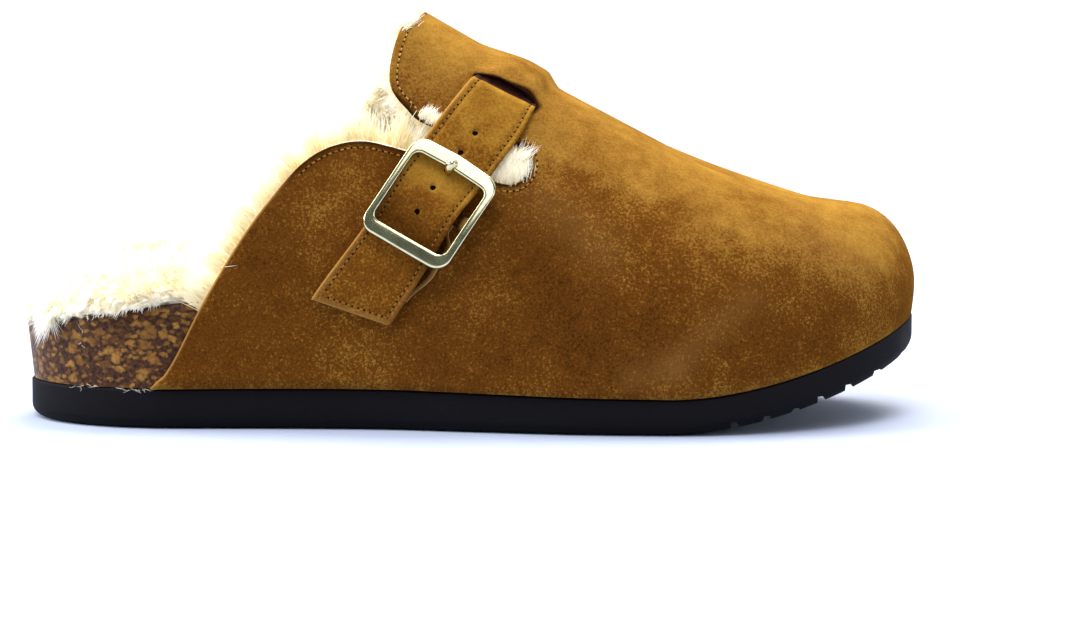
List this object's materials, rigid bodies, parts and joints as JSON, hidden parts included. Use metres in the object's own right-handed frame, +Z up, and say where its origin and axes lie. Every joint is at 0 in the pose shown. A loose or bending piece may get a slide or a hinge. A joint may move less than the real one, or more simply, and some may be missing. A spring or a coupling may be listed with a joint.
{
  "type": "suede clog slipper",
  "caption": "Right-foot suede clog slipper with a fur insole and lining, cork footbed, black foam outsole and a buckled instep strap; worn as a house shoe.",
  "frame": {"origin": "on the floor under the middle of the sole's length", "axes": "+X to the toe, +Y to the inner side of the foot, +Z up"},
  "size_m": [0.2649, 0.0956, 0.1186],
  "materials": {
    "outsole_foam": "moulded black foam, matte, zigzag tread",
    "cork": "pressed cork granules under a thin clear varnish",
    "fleece": "deep cream shearling",
    "suede": "tan suede with a short nap",
    "buckle_metal": "cast, pale brass plated and polished"
  },
  "bodies": {
    "root": {"outsole": "outsole_foam", "cork_footbed": "cork", "fur_insole": "fleece", "fur_lining": "fleece", "upper": "suede", "strap": "suede", "buckle_tab": "suede", "buckle_frame": "buckle_metal", "buckle_prong": "buckle_metal"}
  },
  "joints": []
}
